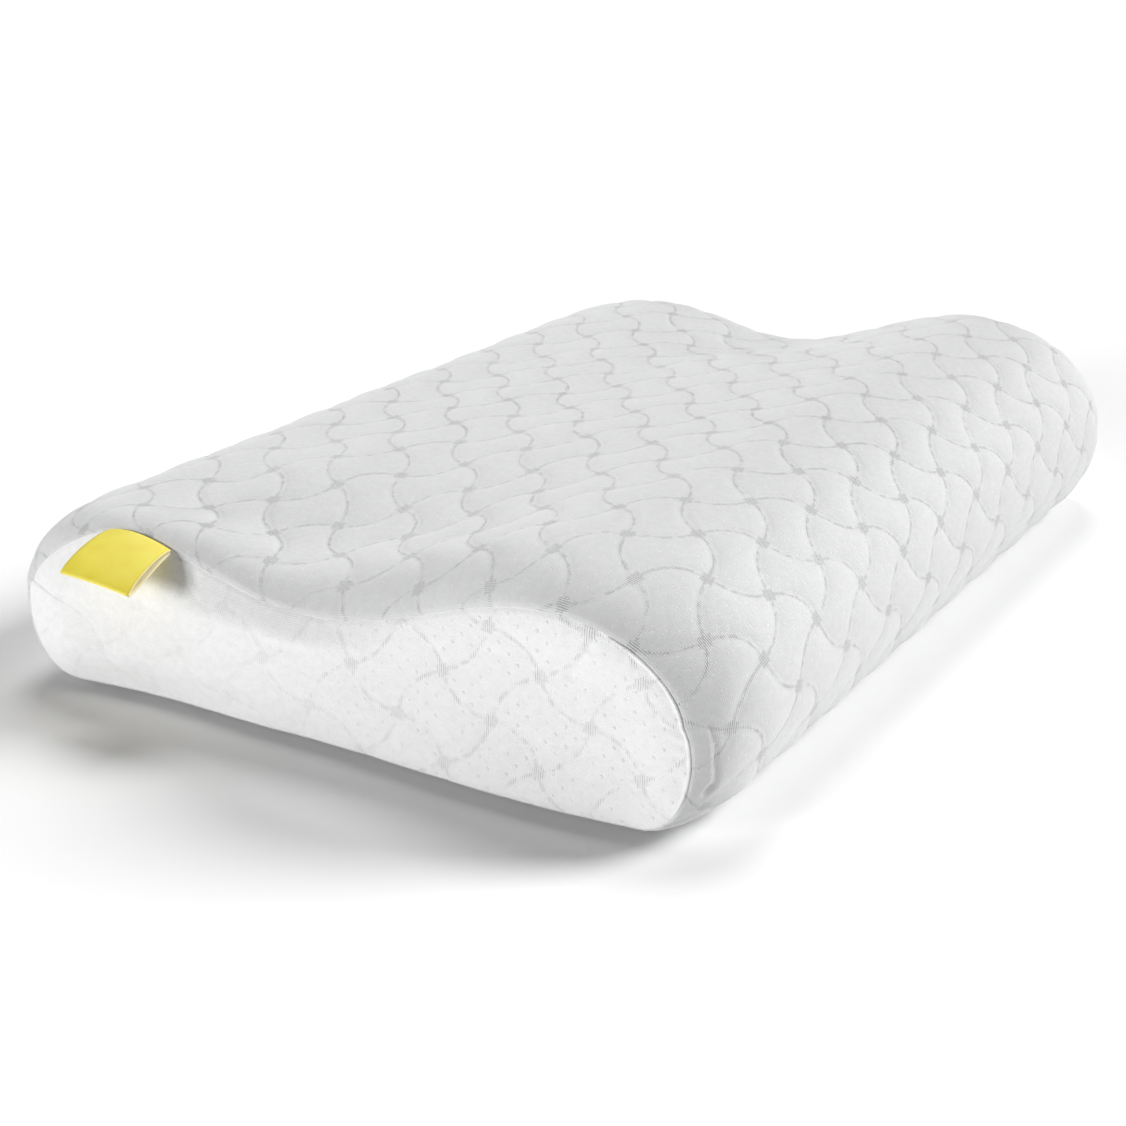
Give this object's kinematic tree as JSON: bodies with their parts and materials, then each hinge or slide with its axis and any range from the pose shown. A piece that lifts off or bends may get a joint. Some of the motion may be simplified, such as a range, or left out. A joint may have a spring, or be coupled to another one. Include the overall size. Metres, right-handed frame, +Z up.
{
  "type": "contour foam pillow",
  "caption": "Contour foam pillow in a knitted cover, with a full front lobe, a head dip, a lower back lobe, sewn end panels and a blank ribbon label.",
  "frame": {"origin": "middle of the flat underside that the pillow lies on, halfway between the two ends and the two sides", "axes": "+X along the pillow towards the far end, away from the label; +Y across it towards the lower lobe; +Z up"},
  "size_m": [0.6363, 0.4, 0.119],
  "materials": {
    "knit_cover": "matt double-knit jacquard with a puffy axe-head pattern",
    "end_cover": "the same matt double knit, drawn smooth",
    "satin_ribbon": "satin ribbon"
  },
  "bodies": {
    "root": {"filled_wrap": "knit_cover", "end_panel_near": "end_cover", "end_panel_far": "end_cover", "label_loop": "satin_ribbon"}
  },
  "joints": []
}
